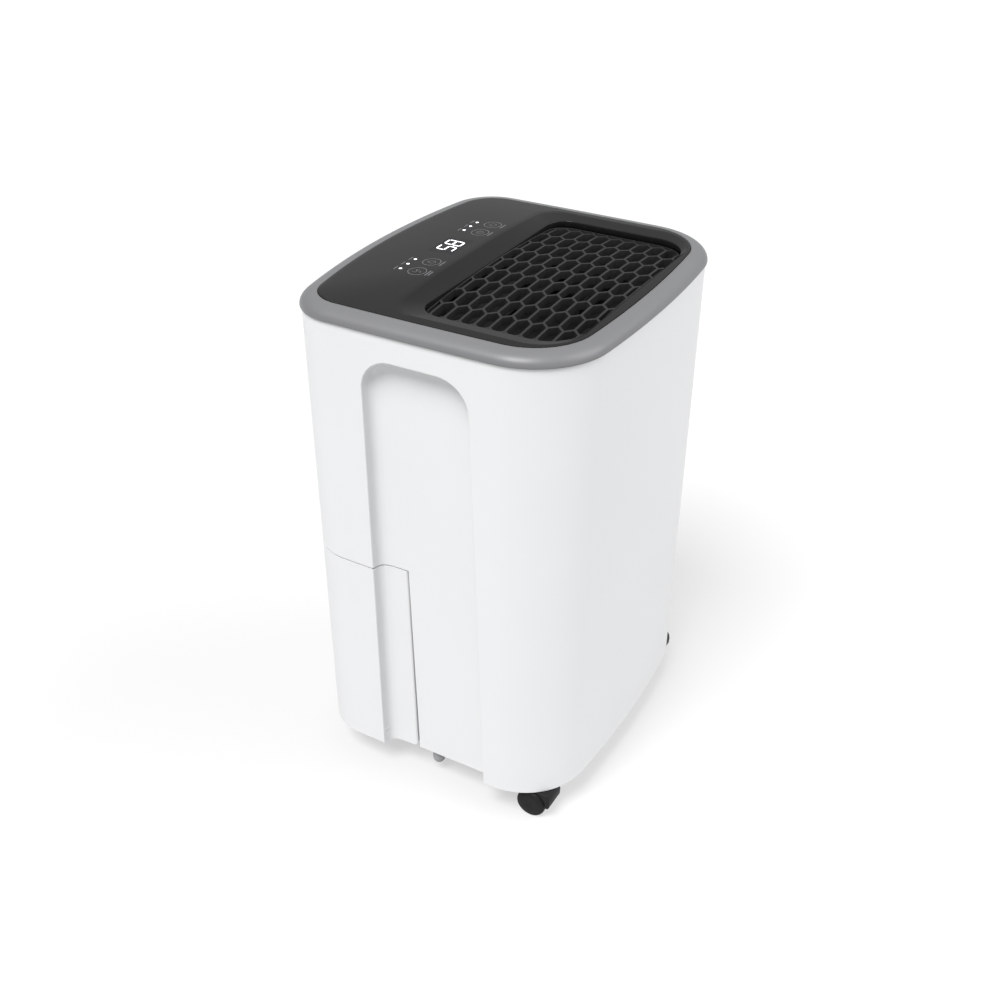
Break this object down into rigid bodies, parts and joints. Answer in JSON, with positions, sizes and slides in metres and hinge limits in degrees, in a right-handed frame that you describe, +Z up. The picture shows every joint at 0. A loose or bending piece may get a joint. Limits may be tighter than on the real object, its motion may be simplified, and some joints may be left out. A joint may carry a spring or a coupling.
{
  "type": "dehumidifier",
  "caption": "Portable room dehumidifier on swivel casters, with a domed control panel, honeycomb air outlet and a water tank that slides out at the back.",
  "frame": {"origin": "on the floor under the middle of the housing", "axes": "+Z up; front of the housing towards -Y, tank and air intake towards +Y; +X to the right seen from the front"},
  "size_m": [0.3348, 0.2954, 0.5049],
  "materials": {
    "white_plastic": "fine satin, injection moulded",
    "grey_plastic": "satin mid grey",
    "dark_plastic": "fine grain, dark grey",
    "panel_gloss": "glossy dark film panel with printed symbols",
    "inner_plastic": "plain moulded",
    "steel": "zinc plated",
    "copper": "drawn copper tube",
    "aluminium": "rolled sheet fins",
    "black_paint": "semi-gloss black paint",
    "rubber": "matt black rubber",
    "grey_rubber": "matt grey rubber",
    "circuit_board": "green solder mask",
    "filter_cloth": "woven nylon mesh"
  },
  "bodies": {
    "cabinet": {"housing_sleeve": "white_plastic", "base_pan": "dark_plastic", "bulkhead": "inner_plastic", "top_ring": "grey_plastic", "top_deck": "dark_plastic", "control_panel": "panel_gloss", "outlet_grille": "dark_plastic", "control_board": "circuit_board", "display_module": "black_paint", "float_switch": "dark_plastic", "hose_outlet": "grey_plastic", "cord_gland": "rubber", "evaporator_coil": "copper", "evaporator_fins": "aluminium", "condenser_coil": "copper", "condenser_fins": "aluminium", "drip_tray": "inner_plastic", "fan_scroll": "inner_plastic", "fan_motor": "steel", "motor_bracket": "steel", "compressor": "black_paint", "compressor_grommet_1": "rubber", "compressor_grommet_2": "rubber", "compressor_grommet_3": "rubber", "accumulator": "black_paint", "suction_pipe": "copper", "discharge_pipe": "copper", "capillary_tube": "copper", "run_capacitor": "aluminium", "capacitor_clip": "steel", "humidity_sensor": "white_plastic", "stop_foot_left": "grey_rubber", "stop_foot_right": "grey_rubber"},
    "tank": {"tank_bucket": "white_plastic", "tank_lid": "white_plastic", "tank_handle": "grey_plastic", "float_bracket": "white_plastic"},
    "tank_float": {"tank_float": "white_plastic"},
    "intake": {"intake_grille": "white_plastic", "filter_frame": "dark_plastic", "filter_mesh": "filter_cloth"},
    "hose_cap": {"hose_cap": "rubber"},
    "fan": {"fan_impeller": "dark_plastic", "fan_shaft": "steel"},
    "caster_front_left": {"caster_hood_front_left": "dark_plastic"},
    "wheels_front_left": {"caster_wheel_outer_front_left": "dark_plastic", "caster_wheel_inner_front_left": "dark_plastic", "caster_axle_front_left": "steel"},
    "caster_front_right": {"caster_hood_front_right": "dark_plastic"},
    "wheels_front_right": {"caster_wheel_outer_front_right": "dark_plastic", "caster_wheel_inner_front_right": "dark_plastic", "caster_axle_front_right": "steel"},
    "caster_rear_left": {"caster_hood_rear_left": "dark_plastic"},
    "wheels_rear_left": {"caster_wheel_outer_rear_left": "dark_plastic", "caster_wheel_inner_rear_left": "dark_plastic", "caster_axle_rear_left": "steel"},
    "caster_rear_right": {"caster_hood_rear_right": "dark_plastic"},
    "wheels_rear_right": {"caster_wheel_outer_rear_right": "dark_plastic", "caster_wheel_inner_rear_right": "dark_plastic", "caster_axle_rear_right": "steel"}
  },
  "joints": [
    {"name": "tank_slide", "type": "slide", "parent": "cabinet", "child": "tank", "axis": [0, 1, 0], "range_m": [0, 0.24]},
    {"name": "float_hinge", "type": "hinge", "parent": "tank", "child": "tank_float", "pos_m": [0.023, 0.034, 0.205], "axis": [1, 0, 0], "range_deg": [0, 20]},
    {"name": "intake_pull", "type": "slide", "parent": "cabinet", "child": "intake", "axis": [0, 1, 0], "range_m": [0, 0.08]},
    {"name": "hose_cap_pull", "type": "slide", "parent": "cabinet", "child": "hose_cap", "axis": [0, 1, 0], "range_m": [0, 0.03]},
    {"name": "fan_spin", "type": "hinge", "parent": "cabinet", "child": "fan", "pos_m": [0, -0.04, 0.362], "axis": [0, 1, 0], "continuous": true},
    {"name": "swivel_front_left", "type": "hinge", "parent": "cabinet", "child": "caster_front_left", "pos_m": [-0.136, -0.113, 0.036], "axis": [0, 0, 1], "continuous": true},
    {"name": "roll_front_left", "type": "hinge", "parent": "caster_front_left", "child": "wheels_front_left", "pos_m": [-0.136, -0.107, 0.015], "axis": [1, 0, 0], "continuous": true},
    {"name": "swivel_front_right", "type": "hinge", "parent": "cabinet", "child": "caster_front_right", "pos_m": [0.136, -0.113, 0.036], "axis": [0, 0, 1], "continuous": true},
    {"name": "roll_front_right", "type": "hinge", "parent": "caster_front_right", "child": "wheels_front_right", "pos_m": [0.136, -0.107, 0.015], "axis": [1, 0, 0], "continuous": true},
    {"name": "swivel_rear_left", "type": "hinge", "parent": "cabinet", "child": "caster_rear_left", "pos_m": [-0.11, 0.092, 0.036], "axis": [0, 0, 1], "continuous": true},
    {"name": "roll_rear_left", "type": "hinge", "parent": "caster_rear_left", "child": "wheels_rear_left", "pos_m": [-0.11, 0.098, 0.015], "axis": [1, 0, 0], "continuous": true},
    {"name": "swivel_rear_right", "type": "hinge", "parent": "cabinet", "child": "caster_rear_right", "pos_m": [0.11, 0.092, 0.036], "axis": [0, 0, 1], "continuous": true},
    {"name": "roll_rear_right", "type": "hinge", "parent": "caster_rear_right", "child": "wheels_rear_right", "pos_m": [0.11, 0.098, 0.015], "axis": [1, 0, 0], "continuous": true}
  ]
}
